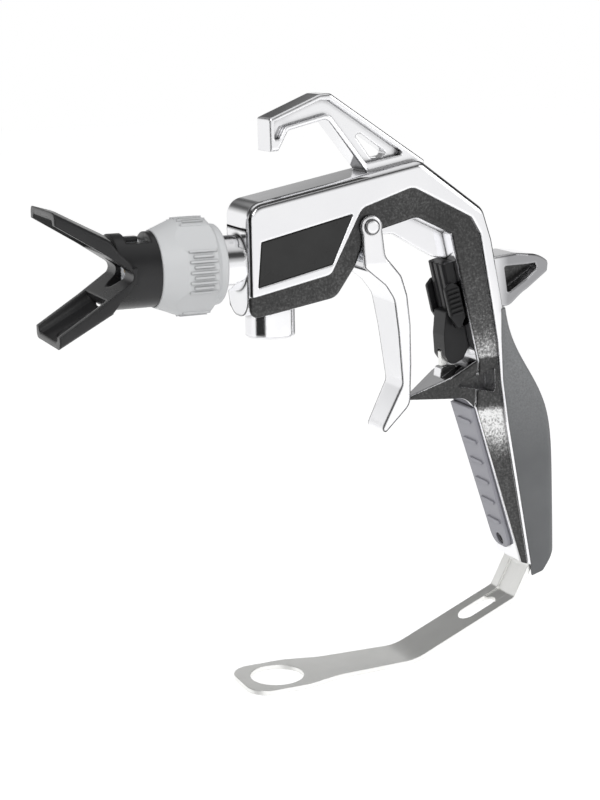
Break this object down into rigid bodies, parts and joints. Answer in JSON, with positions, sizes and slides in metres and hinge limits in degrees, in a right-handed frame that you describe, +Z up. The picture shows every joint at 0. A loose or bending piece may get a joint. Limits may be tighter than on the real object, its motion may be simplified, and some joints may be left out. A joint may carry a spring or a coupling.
{
  "type": "airless spray gun",
  "caption": "Hand-held airless spray gun: cast body with hook and finger spurs, four-finger trigger, spin nut, V-shaped tip guard, trigger lock and hose bracket.",
  "frame": {"origin": "centre of the mouth of the fluid inlet stub, below the head", "axes": "+Z up along the inlet stub, nozzle towards -X, handle towards +X, +Y to the right of the person who holds the gun, which is away from the picture's camera"},
  "size_m": [0.2197, 0.0386, 0.2412],
  "materials": {
    "polished_alloy": "polished and clear-coated casting",
    "chrome_plate": "bright chrome plate",
    "plated_sheet": "nickel-plated sheet, satin",
    "steel": "ground steel",
    "dark_steel": "blackened",
    "brass": "turned brass",
    "black_plastic": "glass-filled plastic, fine grain",
    "lock_plastic": "plastic, satin",
    "nut_plastic": "light grey plastic, fine grain",
    "grip_plastic": "soft-touch plastic",
    "strip_plastic": "satin plastic",
    "label_black": "black, semi-gloss",
    "seal": "white polymer"
  },
  "bodies": {
    "gun": {"gun_body": "polished_alloy", "label_plate_near": "label_black", "label_plate_far": "label_black", "fluid_head": "chrome_plate", "inlet_stub": "chrome_plate", "valve_seat": "steel", "needle_packing": "seal", "packing_gland": "brass", "return_spring": "steel", "spring_cap": "steel", "trigger_pivot_pin": "chrome_plate", "lock_rail": "lock_plastic", "lock_strip": "plated_sheet", "front_grip_strip": "strip_plastic", "rear_grip_shell": "grip_plastic", "hose_bracket": "plated_sheet", "handle_screw": "dark_steel"},
    "needle": {"needle": "steel"},
    "trigger": {"trigger": "chrome_plate", "needle_puller_pin": "steel"},
    "nut": {"retaining_nut": "nut_plastic"},
    "guard": {"tip_guard": "black_plastic", "tip_seal": "brass"},
    "tip": {"spray_tip": "steel", "spray_orifice": "brass", "tip_key": "black_plastic"},
    "lock": {"lock_slider": "lock_plastic"}
  },
  "joints": [
    {"name": "trigger_pull", "type": "hinge", "parent": "gun", "child": "trigger", "pos_m": [0.0391, 0, 0.0423], "axis": [0, -1, 0], "range_deg": [0, 5.2], "stiffness_Nm_per_rad": 2, "springref_deg": -6.88},
    {"name": "needle_slide", "type": "slide", "parent": "gun", "child": "needle", "axis": [1, 0, 0], "range_m": [0, 0.0012], "deforming": ["return_spring"]},
    {"name": "nut_turn", "type": "hinge", "parent": "gun", "child": "nut", "pos_m": [-0.036, 0, 0.0304], "axis": [-1, 0, 0], "range_deg": [-180, 180]},
    {"name": "guard_turn", "type": "hinge", "parent": "gun", "child": "guard", "pos_m": [-0.045, 0, 0.0304], "axis": [-1, 0, 0], "range_deg": [-90, 90]},
    {"name": "tip_turn", "type": "hinge", "parent": "guard", "child": "tip", "pos_m": [-0.0564, 0, 0.0304], "axis": [0, 0, 1], "range_deg": [0, 180]},
    {"name": "lock_slide", "type": "slide", "parent": "gun", "child": "lock", "axis": [0.235, 0, -0.972], "range_m": [0, 0.008]}
  ],
  "couplings": [
    {"joint": "needle_slide", "follows": "trigger_pull", "m_per_rad": 0.012}
  ]
}
